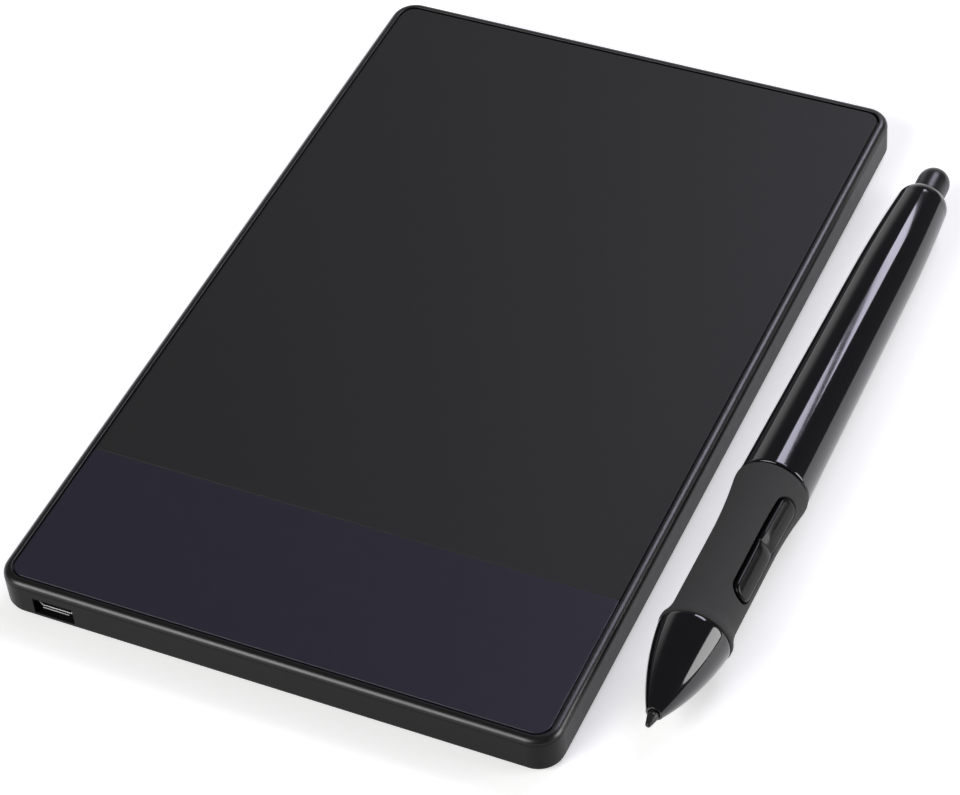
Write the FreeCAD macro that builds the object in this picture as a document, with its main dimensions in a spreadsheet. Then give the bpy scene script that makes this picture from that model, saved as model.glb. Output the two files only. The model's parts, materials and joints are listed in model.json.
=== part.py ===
import FreeCAD, Part
import Sketcher
import math
import os

# A flat drawing tablet and the battery pen that belongs to it, lying side by side on a table.
#
# Frame: +Z up, +Y away from the tablet's socket edge, +X towards the pen.  The origin is on the
# table, under the middle of the pair.  Tablet pieces are drawn about the tablet's own centre and
# then moved by tablet_shift.  Pen pieces are drawn about the pen's own axis: local Z runs from
# the nib's tip to the tail, and local X points at the side switch.

doc = FreeCAD.newDocument("drawing_tablet")

# ---------------------------------------------------------------- driving dimensions
DIMENSIONS = {
    # clearances between pieces, and how far a cut or a joined pad reaches past a face
    "hair_gap": 0.02,
    "thin_gap": 0.03,
    "slip_gap": 0.05,
    "cut_margin": 0.1,
    "cut_lead": 0.5,
    "pad_root": 0.01,
    # the tablet's outside
    "tablet_width": 110.5,
    "tablet_length": 175.0,
    "tablet_corner": 5.0,
    "tablet_shift": -10.15,
    "foot_height": 0.6,
    "foot_gap": 0.15,
    "seam_height": 1.5,
    "seam_gap": 0.1,
    "tablet_top": 8.6,
    "wall": 1.8,
    "shoulder": 1.4,
    # the drawing face
    "lip_width": 1.7,
    "lip_round": 0.15,
    "face_groove": 0.45,
    "face_depth": 0.1,
    "face_thickness": 0.6,
    "film_thickness": 0.06,
    "film_inset": 0.5,
    "film_corner": 2.0,
    "film_gap": 0.02,
    "plate_thickness": 0.9,
    "band_depth": 35.0,
    "band_gap": 0.06,
    # the lower case and what fastens it
    "lower_inset": 0.25,
    "lower_round": 0.5,
    "rim_height": 1.1,
    "rim_thickness": 1.0,
    "rim_gap": 0.15,
    "screw_x": 50.0,
    "screw_y": 81.5,
    "screw_head_radius": 1.7,
    "screw_hole_gap": 0.25,
    "screw_head_height": 0.75,
    "screw_radius": 0.78,
    "screw_top": 6.3,
    "screw_recess_radius": 1.95,
    "screw_web": 0.8,
    "boss_gap": 0.05,
    "pilot_gap": 0.15,
    "cross_length": 1.9,
    "cross_width": 0.45,
    "boss_radius": 2.6,
    "upper_boss_radius": 2.0,
    "foot_x": 42.0,
    "foot_y": 72.0,
    "foot_radius": 5.0,
    "foot_recess": 0.2,
    # circuit board, shield and foam
    "board_thickness": 0.8,
    "board_gap": 0.05,
    "board_inset": 2.2,
    "board_corner": 2.5,
    "board_hole_gap": 0.3,
    "shield_thickness": 0.25,
    "shield_width": 92.0,
    "shield_length": 132.0,
    "shield_y": 15.0,
    "foam_width": 9.0,
    "foam_shortening": 16.0,
    "foam_spacing": 38.0,
    "crystal_length": 7.5,
    "crystal_width": 3.2,
    "crystal_height": 1.8,
    "crystal_x": -16.0,
    "crystal_y": -79.0,
    "part_length": 1.6,
    "part_width": 0.8,
    "part_height": 0.5,
    "part_x": 24.0,
    "part_y": -78.0,
    "part_pitch_x": 3.0,
    "part_pitch_y": 2.6,
    # cable socket
    "socket_x": -43.4,
    "socket_width": 7.5,
    "socket_height": 2.6,
    "socket_length": 5.5,
    "socket_sheet": 0.3,
    "socket_setback": 1.2,
    "socket_drop": 0.5,
    "socket_chamfer": 0.8,
    "socket_chamfer_step": 0.4,
    "recess_width": 8.3,
    "recess_margin": 0.15,
    "flare_width": 5.4,
    "flare_thickness": 0.25,
    "flare_rise": 0.08,
    "flare_length": 0.45,
    "tongue_width": 5.0,
    "tongue_length": 3.9,
    "tongue_thickness": 0.6,
    "tongue_setback": 0.6,
    "tongue_clearance": 0.25,
    "tongue_block_length": 0.9,
    "tongue_block_step": 0.2,
    "tongue_block_rise": 0.15,
    "tongue_root": 0.3,
    "tongue_block_height": 1.8,
    "contact_width": 0.35,
    "contact_length": 3.2,
    "contact_thickness": 0.12,
    "contact_setback": 0.7,
    "contact_pitch": 0.65,
    # how the pen lies
    "pen_tip_x": 58.1,
    "pen_tip_y": -76.7,
    "pen_tip_z": 7.94,
    "pen_yaw": 0.19,
    "pen_pitch": 0.8,
    "pen_roll": 58.0,
    # nib and what it presses on
    "nib_radius": 1.0,
    "nib_length": 21.4,
    "nib_taper": 2.2,
    "nib_point": 0.5,
    "nib_point_height": 0.35,
    "nib_dome": 0.6,
    "nib_guide": 1.08,
    "nib_guide_step": 0.4,
    "holder_front": 19.0,
    "holder_back": 24.4,
    "holder_radius": 1.9,
    "ferrite_front": 9.8,
    "ferrite_back": 18.4,
    "ferrite_bore": 1.3,
    "ferrite_radius": 2.5,
    "coil_radius": 3.2,
    "coil_setback": 2.9,
    "coil_gap": 0.2,
    "coil_end": 0.8,
    "sensor_front": 26.0,
    "sensor_back": 29.6,
    "sensor_button_radius": 1.2,
    "sensor_button_height": 0.4,
    # nose cone
    "cone_front": 3.0,
    "cone_front_radius": 1.6,
    "cone_back": 21.3,
    "cone_back_radius": 6.85,
    "cone_curve": 62.0,
    "cone_spigot": 17.0,
    "cone_chamfer_height": 0.25,
    "cone_chamfer_width": 0.2,
    # carrier, board and switch
    "carrier_radius": 5.0,
    "carrier_bore": 4.1,
    "carrier_front": 17.2,
    "bulkhead_front": 58.6,
    "bulkhead_back": 61.0,
    "bulkhead_bore": 0.8,
    "carrier_margin": 0.4,
    "contact_ring_inset": 0.2,
    "contact_ring_thickness": 0.3,
    "cup_front": 59.6,
    "cup_back": 70.6,
    "cup_radius": 6.1,
    "cup_bore": 5.3,
    "ring_place": 67.5,
    "ring_wire": 0.3,
    "ring_gap": 0.04,
    "ring_groove_depth": 0.55,
    "ring_groove_half": 0.4,
    "pen_board_width": 7.2,
    "pen_board_low": 0.5,
    "pen_board_high": 1.3,
    "pen_board_front": 31.6,
    "pen_board_back": 58.4,
    "pen_chip_height": 0.8,
    "dome_height": 0.8,
    "dome_width": 3.2,
    "dome_length": 4.2,
    "switch_front": 30.3,
    "switch_back": 54.6,
    "switch_width": 4.2,
    "switch_pivot": 43.2,
    "switch_pivot_height": 3.2,
    "switch_floor": 4.35,
    "plunger_reach": 8.6,
    "rocker_edge": 6.35,
    "rocker_front_pad": 6.5,
    "rocker_dip": 6.2,
    "rocker_rise": 6.48,
    "rocker_rear_pad": 6.9,
    "rocker_dip_curve": 9.0,
    "rocker_front_round": 1.2,
    "rocker_rear_round": 1.6,
    "rocker_rear_drop": 0.15,
    "rocker_end_flat": 0.3,
    "pin_gap": 0.06,
    "rocker_rear_curve": 60.0,
    "rocker_dip_reach": 2.2,
    "rocker_lug": 1.1,
    "plunger_foot": 2.85,
    "plunger_half": 0.8,
    "pin_radius": 0.5,
    "pin_length": 6.7,
    "window_width": 5.0,
    "window_margin": 0.45,
    "window_flat": 0.1,
    "window_floor": 1,
    # rubber grip
    "grip_front": 21.45,
    "grip_back": 59.4,
    "grip_bore": 5.05,
    "grip_waist": 6.13,
    "grip_rim": 7.02,
    "grip_flare": 7.1,
    "grip_lip": 0.95,
    "grip_edge_width": 0.3,
    "grip_edge_height": 0.45,
    "grip_end_height": 0.5,
    "grip_lip_sweep": 4.1,
    "grip_flare_end": 1.3,
    "grip_waist_end": 15.4,
    "grip_lip_curve": 10.4,
    "grip_flare_curve": 112.0,
    # battery and barrel
    "cell_front": 63.6,
    "cell_length": 44.4,
    "cell_radius": 5.15,
    "cell_edge": 0.3,
    "cell_button_radius": 1.9,
    "cell_button_height": 0.8,
    "contact_plate_radius": 4.6,
    "contact_plate_thickness": 0.3,
    "contact_button_base": 1.6,
    "contact_button_tip": 1.0,
    "strip_thickness": 0.2,
    "strip_width": 1.8,
    "strip_place": -5.72,
    "strip_front_gap": 0.7,
    "strip_rear_gap": 0.5,
    "seat_bore": 1.0,
    "seat_radius": 5.45,
    "seat_thickness": 0.35,
    "spring_wire": 0.3,
    "spring_mean": 3.8,
    "spring_turns": 5,
    "barrel_front": 59.75,
    "barrel_radius": 6.9,
    "barrel_taper_end": 117.5,
    "barrel_taper_radius": 6.25,
    "barrel_curve": 376.0,
    "barrel_shoulder": 141.0,
    "barrel_shoulder_radius": 5.25,
    "barrel_back": 144.3,
    "barrel_mouth_bore": 6.2,
    "barrel_mouth_depth": 72.2,
    "barrel_bore": 5.55,
    "barrel_bore_end": 119.7,
    "barrel_core": 3.2,
    "barrel_rim_radius": 3.6,
    "mouth_chamfer_width": 0.25,
    "mouth_chamfer_height": 0.3,
    "barrel_rim_round": 3.4,
    "strip_groove_depth": 0.9,
    "strip_groove_width": 2.2,
    "strip_groove_place": -5.45,
    "knob_socket": 4.0,
    "knob_socket_gap": 0.5,
    "knob_radius": 3.3,
    "knob_stem": 1.55,
    "knob_front": 144.4,
    "knob_dome": 148.4,
    "knob_back": 152.2,
    "knob_crown": 0.5,
    "knob_crown_curve": 3.9,
    "knob_chamfer_width": 0.35,
    "knob_chamfer_height": 0.6,
}

sheet = doc.addObject("Spreadsheet::Sheet", "dims")
for row, (alias, number) in enumerate(DIMENSIONS.items(), start=1):
    sheet.set(f"A{row}", alias)
    sheet.set(f"B{row}", str(number))
    sheet.setAlias(f"B{row}", alias)
doc.recompute()

nodes = []


# ---------------------------------------------------------------- helpers
def value(text):
    """The number that an expression over the sheet gives."""
    return float(sheet.evalExpression(str(text)))


def bind(obj, prop, text):
    """Bind a property to an expression over the sheet."""
    obj.setExpression(prop, str(text))


def new_body(name):
    body = doc.addObject("PartDesign::Body", name)
    body.Label = name
    nodes.append(body)
    return body


def origin_feature(body, role):
    return next(f for f in body.Origin.OriginFeatures if f.Role == role)


def new_sketch(body, name, role="XY_Plane", offset="0"):
    """Sketch on one of the body's own planes, moved along the plane's normal."""
    sketch = body.newObject("Sketcher::SketchObject", name)
    sketch.AttachmentSupport = [(origin_feature(body, role), "")]
    sketch.MapMode = "FlatFace"
    bind(sketch, "AttachmentOffset.Base.z", offset)
    return sketch


def fix_vertex(sketch, line, end, point):
    """Hold one end of a line at a pair of expressions, measured from the sketch's origin."""
    for kind, text in zip(("DistanceX", "DistanceY"), point):
        number = sketch.addConstraint(
            Sketcher.Constraint(kind, -1, 1, line, end, value(text)))
        bind(sketch, f"Constraints[{number}]", text)


def arc_between(start, end, radius):
    """Short anticlockwise arc; a positive radius bulges to the right of the way to the end."""
    chord = end - start
    side = FreeCAD.Vector(chord.y, -chord.x, 0) / chord.Length
    sagitta = abs(radius) - math.sqrt(radius * radius - chord.Length * chord.Length / 4)
    middle = (start + end) / 2 + side * math.copysign(sagitta, radius)
    return Part.Arc(start, middle, end) if radius > 0 else Part.Arc(end, middle, start)


def outline(sketch, points, arcs=None):
    """Closed outline through pairs of expressions.

    arcs maps the number of a stretch to its radius expression: stretch 0 runs from point 0 to
    point 1, and a positive radius bulges to the right of the way the outline goes.
    """
    arcs = arcs or {}
    corners = [FreeCAD.Vector(value(x), value(y), 0) for x, y in points]
    ends = []
    for number, start in enumerate(corners):
        end = corners[(number + 1) % len(corners)]
        if number in arcs:
            radius = value(arcs[number])
            index = sketch.addGeometry(arc_between(start, end, radius), False)
            ends.append((index, 1, 2) if radius > 0 else (index, 2, 1))
        else:
            index = sketch.addGeometry(Part.LineSegment(start, end), False)
            ends.append((index, 1, 2))
    for number, (index, first, last) in enumerate(ends):
        following = ends[(number + 1) % len(ends)]
        sketch.addConstraint(Sketcher.Constraint(
            "Coincident", index, last, following[0], following[1]))
    for number, (index, first, last) in enumerate(ends):
        fix_vertex(sketch, index, first, points[number])
    for number, text in arcs.items():
        text = f"abs({text})"
        constraint = sketch.addConstraint(
            Sketcher.Constraint("Radius", ends[number][0], value(text)))
        bind(sketch, f"Constraints[{constraint}]", text)
    return sketch


def rectangle(sketch, width, length, x="0", y="0", corner=None):
    """Rectangle of a given width and length about a centre, with square or round corners."""
    left, right = f"{x} - ({width}) / 2", f"{x} + ({width}) / 2"
    low, high = f"{y} - ({length}) / 2", f"{y} + ({length}) / 2"
    if corner is None:
        return outline(sketch, [(left, low), (right, low), (right, high), (left, high)])
    in_left, in_right = f"{left} + ({corner})", f"{right} - ({corner})"
    in_low, in_high = f"{low} + ({corner})", f"{high} - ({corner})"
    points = [(in_left, low), (in_right, low), (right, in_low), (right, in_high),
              (in_right, high), (in_left, high), (left, in_high), (left, in_low)]
    return outline(sketch, points, {number: corner for number in (1, 3, 5, 7)})


def circles(sketch, centres, radius):
    """Equal circles about pairs of expressions."""
    for x, y in centres:
        centre = FreeCAD.Vector(value(x), value(y), 0)
        circle = Part.Circle(centre, FreeCAD.Vector(0, 0, 1), value(radius))
        index = sketch.addGeometry(circle, False)
        fix_vertex(sketch, index, 3, (x, y))
        number = sketch.addConstraint(Sketcher.Constraint("Radius", index, value(radius)))
        bind(sketch, f"Constraints[{number}]", radius)
    return sketch


def pad(body, sketch, height):
    """Add a prism along the sketch's normal."""
    feature = body.newObject("PartDesign::Pad", f"{sketch.Name}_pad")
    feature.Profile = sketch
    bind(feature, "Length", height)
    doc.recompute()
    return feature


def cut(body, sketch, depth):
    """Cut a prism against the sketch's normal, and make sure that it takes material away."""
    before = body.Shape.Volume
    feature = body.newObject("PartDesign::Pocket", f"{sketch.Name}_cut")
    feature.Profile = sketch
    bind(feature, "Length", depth)
    doc.recompute()
    if body.Shape.Volume > before - 1e-6:
        raise RuntimeError(f"{sketch.Name} cuts nothing")
    return feature


def revolve(body, sketch):
    """Turn a profile about the sketch's upright axis."""
    feature = body.newObject("PartDesign::Revolution", f"{sketch.Name}_turned")
    feature.Profile = sketch
    feature.ReferenceAxis = (sketch, ["V_Axis"])
    feature.Angle = 360
    doc.recompute()
    return feature


def edges_where(feature, test):
    """Names of the edges whose bounding box passes a test."""
    edges = feature.Shape.Edges
    return [f"Edge{i}" for i, edge in enumerate(edges, start=1) if test(edge.BoundBox)]


def upright(box):
    return box.XLength < 1e-6 and box.YLength < 1e-6


def flat_at(height):
    """Test for an edge that lies in a horizontal plane."""
    return lambda box: box.ZLength < 1e-6 and abs(box.ZMin - height) < 1e-6


def dress(body, base, edges, radius):
    """Round some edges of a feature."""
    feature = body.newObject("PartDesign::Fillet", f"{body.Name}_fillet")
    feature.Base = (base, edges)
    bind(feature, "Radius", radius)
    doc.recompute()
    return feature


def rounded_plate(body, name, width, length, base, height, corner):
    """Flat plate with round corners."""
    return pad(body, rectangle(new_sketch(body, name, offset=base), width, length,
                               corner=corner), height)


def box(name, size, place):
    """Box of three sizes, given by the middle of its bottom face."""
    solid = doc.addObject("Part::Box", name)
    for prop, text in zip(("Length", "Width", "Height"), size):
        bind(solid, prop, text)
    bind(solid, "Placement.Base.x", f"{place[0]} - ({size[0]}) / 2")
    bind(solid, "Placement.Base.y", f"{place[1]} - ({size[1]}) / 2")
    bind(solid, "Placement.Base.z", place[2])
    return solid


def cylinder(name, radius, height, place):
    """Upright cylinder, given by the middle of its bottom face."""
    solid = doc.addObject("Part::Cylinder", name)
    bind(solid, "Radius", radius)
    bind(solid, "Height", height)
    for axis, text in zip("xyz", place):
        bind(solid, f"Placement.Base.{axis}", text)
    return solid


def boolean(kind, name, base, tool):
    """Part::Cut, Part::Fuse or Part::Common of two objects."""
    result = doc.addObject(f"Part::{kind}", name)
    result.Base = base
    result.Tool = tool
    return result


def group(name, members):
    """Node that holds several separate solids."""
    result = doc.addObject("Part::Compound", name)
    result.Links = members
    result.Label = name
    nodes.append(result)
    return result


def lay_tablet(*objects):
    """Move tablet pieces from the tablet's own centre to its place beside the pen."""
    for obj in objects:
        bind(obj, "Placement.Base.x", "dims.tablet_shift")


def pen_placement():
    """Place of the pen's own axes: local Z to the tail, local X to the side switch."""
    yaw, pitch, roll = (math.radians(value(f"dims.pen_{turn}")) for turn in
                        ("yaw", "pitch", "roll"))
    along = FreeCAD.Vector(math.sin(yaw) * math.cos(pitch), math.cos(yaw) * math.cos(pitch),
                           -math.sin(pitch))
    table_normal = FreeCAD.Vector(0, 0, 1)
    top = (table_normal - along * along.dot(table_normal)).normalize()
    aside = along.cross(top)
    to_switch = top * math.cos(roll) + aside * math.sin(roll)
    turn = FreeCAD.Rotation(to_switch, along.cross(to_switch), along, "ZXY")
    tip = FreeCAD.Vector(*(value(f"dims.pen_tip_{axis}") for axis in "xyz"))
    return FreeCAD.Placement(tip, turn)


PEN = pen_placement()


def lay_pen(*objects):
    """Move pen pieces from the pen's own axes to where the pen lies."""
    for obj in objects:
        obj.Placement = PEN


# ---------------------------------------------------------------- tablet, outside
FACE_FLOOR = ("dims.tablet_top - dims.face_depth - dims.face_thickness"
              " - dims.film_thickness - 2 * dims.film_gap")
PLATE_UNDERSIDE = f"{FACE_FLOOR} - dims.plate_thickness"
FACE_INSET = "(dims.lip_width + dims.face_groove)"
BOARD_UNDERSIDE = f"{PLATE_UNDERSIDE} - dims.board_gap - dims.board_thickness"
SOCKET_TOP = f"{BOARD_UNDERSIDE} - dims.socket_drop"
FRONT = "(-dims.tablet_length / 2)"
CASE_BOTTOM = "dims.seam_height + dims.seam_gap"

screw_places = [(f"{sx} * dims.screw_x", f"{sy} * dims.screw_y")
                for sx in (-1, 1) for sy in (-1, 0, 1)]


def make_upper_case():
    """Wall, shoulder, lip and the plate under the drawing face, with a boss at each screw."""
    body = new_body("upper_case")
    outside = rounded_plate(body, "upper_outside", "dims.tablet_width", "dims.tablet_length",
                            CASE_BOTTOM, f"dims.tablet_top - ({CASE_BOTTOM})",
                            "dims.tablet_corner")
    dress(body, outside, edges_where(outside, flat_at(value("dims.tablet_top"))),
          "dims.shoulder")
    cavity = rectangle(new_sketch(body, "upper_cavity", offset=PLATE_UNDERSIDE),
                       "dims.tablet_width - 2 * dims.wall", "dims.tablet_length - 2 * dims.wall",
                       corner="dims.tablet_corner - dims.wall")
    cut(body, cavity, f"{PLATE_UNDERSIDE} - ({CASE_BOTTOM})")
    recess = rectangle(new_sketch(body, "face_recess", offset="dims.tablet_top"),
                       "dims.tablet_width - 2 * dims.lip_width",
                       "dims.tablet_length - 2 * dims.lip_width",
                       corner="dims.tablet_corner - dims.lip_width")
    cut(body, recess, f"dims.tablet_top - ({FACE_FLOOR})")
    lip = value("dims.tablet_top")
    inner = value("dims.tablet_width / 2 - dims.lip_width") + 1e-3
    tip = body.Tip
    dress(body, tip, edges_where(tip, lambda b: flat_at(lip)(b) and b.XMax < inner
                                 and b.XMin > -inner), "dims.lip_round")
    boss_foot = "(dims.seam_height + dims.screw_web + dims.boss_gap)"
    bosses = circles(new_sketch(body, "upper_bosses", offset=boss_foot),
                     screw_places, "dims.upper_boss_radius")
    pad(body, bosses, f"{PLATE_UNDERSIDE} - {boss_foot}")
    pilots = circles(new_sketch(body, "upper_pilots", offset="dims.screw_top + dims.pilot_gap"),
                     screw_places, "dims.screw_radius + dims.hair_gap")
    cut(body, pilots, "dims.screw_top")
    mouth = rectangle(new_sketch(body, "socket_mouth", "XZ_Plane",
                                 "dims.tablet_length / 2 + dims.cut_margin"),
                      "dims.recess_width", f"2 * ({SOCKET_TOP} + dims.recess_margin)", "dims.socket_x")
    cut(body, mouth, "dims.wall + 2 * dims.cut_margin")
    return body


def make_lower_case():
    """Floor of the tablet: a shallow tray with a rim that locates it in the upper case."""
    body = new_body("lower_case")
    width = "dims.tablet_width - 2 * dims.lower_inset"
    length = "dims.tablet_length - 2 * dims.lower_inset"
    floor = rounded_plate(body, "lower_floor", width, length, "dims.foot_height",
                          "dims.seam_height - dims.foot_height",
                          "dims.tablet_corner - dims.lower_inset")
    dress(body, floor, edges_where(floor, flat_at(value("dims.foot_height"))),
          "dims.lower_round")
    edge = "(dims.wall + dims.rim_gap)"
    rim = rectangle(new_sketch(body, "lower_rim", offset="dims.seam_height - dims.pad_root"),
                    f"dims.tablet_width - 2 * {edge}", f"dims.tablet_length - 2 * {edge}",
                    corner=f"dims.tablet_corner - {edge}")
    pad(body, rim, "dims.rim_height + dims.pad_root")
    hollow = "(dims.wall + dims.rim_gap + dims.rim_thickness)"
    inside = rectangle(new_sketch(body, "lower_hollow",
                                  offset="dims.seam_height + dims.rim_height"),
                       f"dims.tablet_width - 2 * {hollow}", f"dims.tablet_length - 2 * {hollow}",
                       corner=f"dims.tablet_corner - {hollow}")
    cut(body, inside, "dims.rim_height")
    bosses = circles(new_sketch(body, "lower_bosses", offset="dims.seam_height - dims.pad_root"),
                     screw_places, "dims.boss_radius")
    pad(body, bosses, "dims.screw_web + dims.pad_root")
    recesses = circles(new_sketch(body, "screw_recesses", offset="dims.seam_height"),
                       screw_places, "dims.screw_recess_radius")
    cut(body, recesses, "dims.seam_height")
    holes = circles(new_sketch(body, "screw_holes", offset="dims.seam_height + dims.rim_height"),
                    screw_places, "dims.screw_radius + dims.screw_hole_gap")
    cut(body, holes, "dims.seam_height")
    feet = circles(new_sketch(body, "foot_recesses", offset="dims.foot_height + dims.foot_recess"),
                   [(f"{sx} * dims.foot_x", f"{sy} * dims.foot_y")
                    for sx in (-1, 1) for sy in (-1, 1)], "dims.foot_radius + dims.foot_gap")
    cut(body, feet, "1")
    mouth = rectangle(new_sketch(body, "cable_notch", "XZ_Plane",
                                 "dims.tablet_length / 2 + dims.cut_margin"),
                      "dims.recess_width", "2 * dims.rim_height", "dims.socket_x",
                      "dims.seam_height + dims.rim_height")
    cut(body, mouth, "dims.wall + dims.rim_gap + dims.rim_thickness + 2 * dims.cut_margin")
    return body


def make_face_sheet(name, front, back, rounded):
    """One of the two sheets of the drawing face, between two distances from the middle."""
    body = new_body(name)
    sketch = rectangle(new_sketch(body, f"{name}_outline",
                                  offset="dims.tablet_top - dims.face_depth - dims.face_thickness"),
                       f"dims.tablet_width - 2 * {FACE_INSET}", f"({back}) - ({front})",
                       "0", f"(({back}) + ({front})) / 2")
    plate = pad(body, sketch, "dims.face_thickness")
    edge = value(rounded)
    dress(body, plate, edges_where(plate, lambda b: upright(b) and abs(b.YMin - edge) < 1e-3),
          f"dims.tablet_corner - {FACE_INSET}")
    return body


face_end = f"(dims.tablet_length / 2 - {FACE_INSET})"
zone_line = f"({FRONT} + dims.band_depth)"
upper_case = make_upper_case()
lower_case = make_lower_case()
work_surface = make_face_sheet("work_surface", f"{zone_line} + dims.band_gap / 2", face_end,
                               face_end)
front_panel = make_face_sheet("front_panel", f"-{face_end}", f"{zone_line} - dims.band_gap / 2",
                              f"-{face_end}")
adhesive_film = new_body("adhesive_film")
rounded_plate(adhesive_film, "film_outline",
              f"dims.tablet_width - 2 * ({FACE_INSET} + dims.film_inset)",
              f"dims.tablet_length - 2 * ({FACE_INSET} + dims.film_inset)",
              f"{FACE_FLOOR} + dims.film_gap", "dims.film_thickness", "dims.film_corner")
lay_tablet(upper_case, lower_case, work_surface, front_panel, adhesive_film)


# ---------------------------------------------------------------- tablet, feet and screws
def make_rubber_feet():
    """Round stick-on feet, one near each corner, in shallow recesses."""
    feet = []
    for number, (sx, sy) in enumerate([(-1, -1), (1, -1), (-1, 1), (1, 1)], start=1):
        disc = cylinder(f"foot_disc_{number}", "dims.foot_radius",
                        "dims.foot_height + dims.foot_recess - dims.hair_gap",
                        (f"{sx} * dims.foot_x", f"{sy} * dims.foot_y", "0"))
        feet.append(disc)
    return group("rubber_feet", feet)


def make_case_screws():
    """Cross-head screws that come in from below; the shank is drawn at its core size."""
    screws = []
    for number, (x, y) in enumerate(screw_places, start=1):
        seat = "dims.seam_height - dims.screw_head_height - dims.thin_gap"
        head = cylinder(f"screw_head_{number}", "dims.screw_head_radius",
                        "dims.screw_head_height", (x, y, seat))
        shank = cylinder(f"screw_shank_{number}", "dims.screw_radius",
                         f"dims.screw_top - ({seat})", (x, y, seat))
        screw = boolean("Fuse", f"screw_blank_{number}", head, shank)
        for turn, size in enumerate((("dims.cross_length", "dims.cross_width"),
                                     ("dims.cross_width", "dims.cross_length"))):
            slot = box(f"screw_slot_{number}_{turn}", (*size, "dims.cross_width"), (x, y, seat))
            screw = boolean("Cut", f"screw_{number}_{turn}", screw, slot)
        screws.append(screw)
    return group("case_screws", screws)


rubber_feet = make_rubber_feet()
case_screws = make_case_screws()
lay_tablet(rubber_feet, case_screws)


# ---------------------------------------------------------------- tablet, inside
def make_sensor_board():
    """Antenna board under the whole face, notched round the screw bosses."""
    body = new_body("sensor_board")
    rounded_plate(body, "board_outline", "dims.tablet_width - 2 * dims.board_inset",
                  "dims.tablet_length - 2 * dims.board_inset", BOARD_UNDERSIDE,
                  "dims.board_thickness", "dims.board_corner")
    holes = circles(new_sketch(body, "board_holes",
                               offset=f"{BOARD_UNDERSIDE} + dims.board_thickness + dims.cut_margin"),
                    screw_places, "dims.upper_boss_radius + dims.board_hole_gap")
    cut(body, holes, "dims.board_thickness + 2 * dims.cut_margin")
    return body


sensor_board = make_sensor_board()
SHIELD_UNDERSIDE = f"{BOARD_UNDERSIDE} - dims.board_gap - dims.shield_thickness"
shield_plate = group("shield_plate", [
    box("shield_sheet", ("dims.shield_width", "dims.shield_length", "dims.shield_thickness"),
        ("0", "dims.shield_y", SHIELD_UNDERSIDE))])
spacer_foam = group("spacer_foam", [
    box(f"foam_strip_{number}",
        ("dims.foam_width", "dims.shield_length - dims.foam_shortening",
         f"{SHIELD_UNDERSIDE} - dims.seam_height - 2 * dims.slip_gap"),
        (f"{number} * dims.foam_spacing", "dims.shield_y", "dims.seam_height + dims.slip_gap"))
    for number in (-1, 0, 1)])

# Length, width, height and place of each packaged chip, from the board's front strip
CHIPS = [("9", "9", "0.9", "-16", "-70"), ("5", "4.4", "0.8", "-1", "-73"),
         ("3", "3", "0.8", "-32", "-72"), ("6.5", "4.4", "0.8", "14", "-70")]
controller_chips = group("controller_chips", [
    box(f"chip_{number}", (wide, long, tall),
        (x, y, f"{BOARD_UNDERSIDE} - dims.board_gap - {tall}"))
    for number, (wide, long, tall, x, y) in enumerate(CHIPS, start=1)])
clock_crystal = group("clock_crystal", [
    box("crystal_can", ("dims.crystal_length", "dims.crystal_width", "dims.crystal_height"),
        ("dims.crystal_x", "dims.crystal_y",
         f"{BOARD_UNDERSIDE} - dims.board_gap - dims.crystal_height"))])
chip_parts = group("chip_parts", [
    box(f"chip_part_{row}_{column}", ("dims.part_length", "dims.part_width", "dims.part_height"),
        (f"dims.part_x + {column} * dims.part_pitch_x", f"dims.part_y + {row} * dims.part_pitch_y",
         f"{BOARD_UNDERSIDE} - dims.board_gap - dims.part_height"))
    for row in range(4) for column in range(5)])
lay_tablet(sensor_board, shield_plate, spacer_foam, controller_chips, clock_crystal, chip_parts)

# ---------------------------------------------------------------- cable socket
SOCKET_BOTTOM = f"{SOCKET_TOP} - dims.socket_height"
SOCKET_MOUTH = f"{FRONT} + dims.socket_setback"
SOCKET_REAR = f"{SOCKET_MOUTH} + dims.socket_length"


def socket_outline(sketch, inset):
    """Wide at the top, with the two lower corners cut off."""
    half = f"(dims.socket_width / 2 - {inset})"
    low, high = f"{SOCKET_BOTTOM} + {inset}", f"{SOCKET_TOP} - {inset}"
    chamfer = f"(dims.socket_chamfer - {inset} * dims.socket_chamfer_step)"
    left, right = f"dims.socket_x - {half}", f"dims.socket_x + {half}"
    return outline(sketch, [(f"{left} + {chamfer}", low), (f"{right} - {chamfer}", low),
                            (right, f"{low} + {chamfer}"), (right, high), (left, high),
                            (left, f"{low} + {chamfer}")])


def make_socket_shell():
    """Folded sheet-metal shell, open towards the plug, with a flared lower lip."""
    body = new_body("socket_shell")
    outside = socket_outline(new_sketch(body, "shell_outside", "XZ_Plane", f"-({SOCKET_REAR})"),
                             "0")
    pad(body, outside, "dims.socket_length")
    inside = socket_outline(new_sketch(body, "shell_inside", "XZ_Plane",
                                       f"-({SOCKET_MOUTH}) + dims.cut_margin"), "dims.socket_sheet")
    cut(body, inside, "dims.socket_length - dims.socket_sheet + dims.cut_margin")
    lip = rectangle(new_sketch(body, "shell_lip", "XZ_Plane", f"-({SOCKET_MOUTH}) - dims.hair_gap"),
                    "dims.flare_width", "dims.flare_thickness", "dims.socket_x",
                    f"{SOCKET_BOTTOM} + dims.flare_rise")
    pad(body, lip, "dims.flare_length")
    return body


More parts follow.
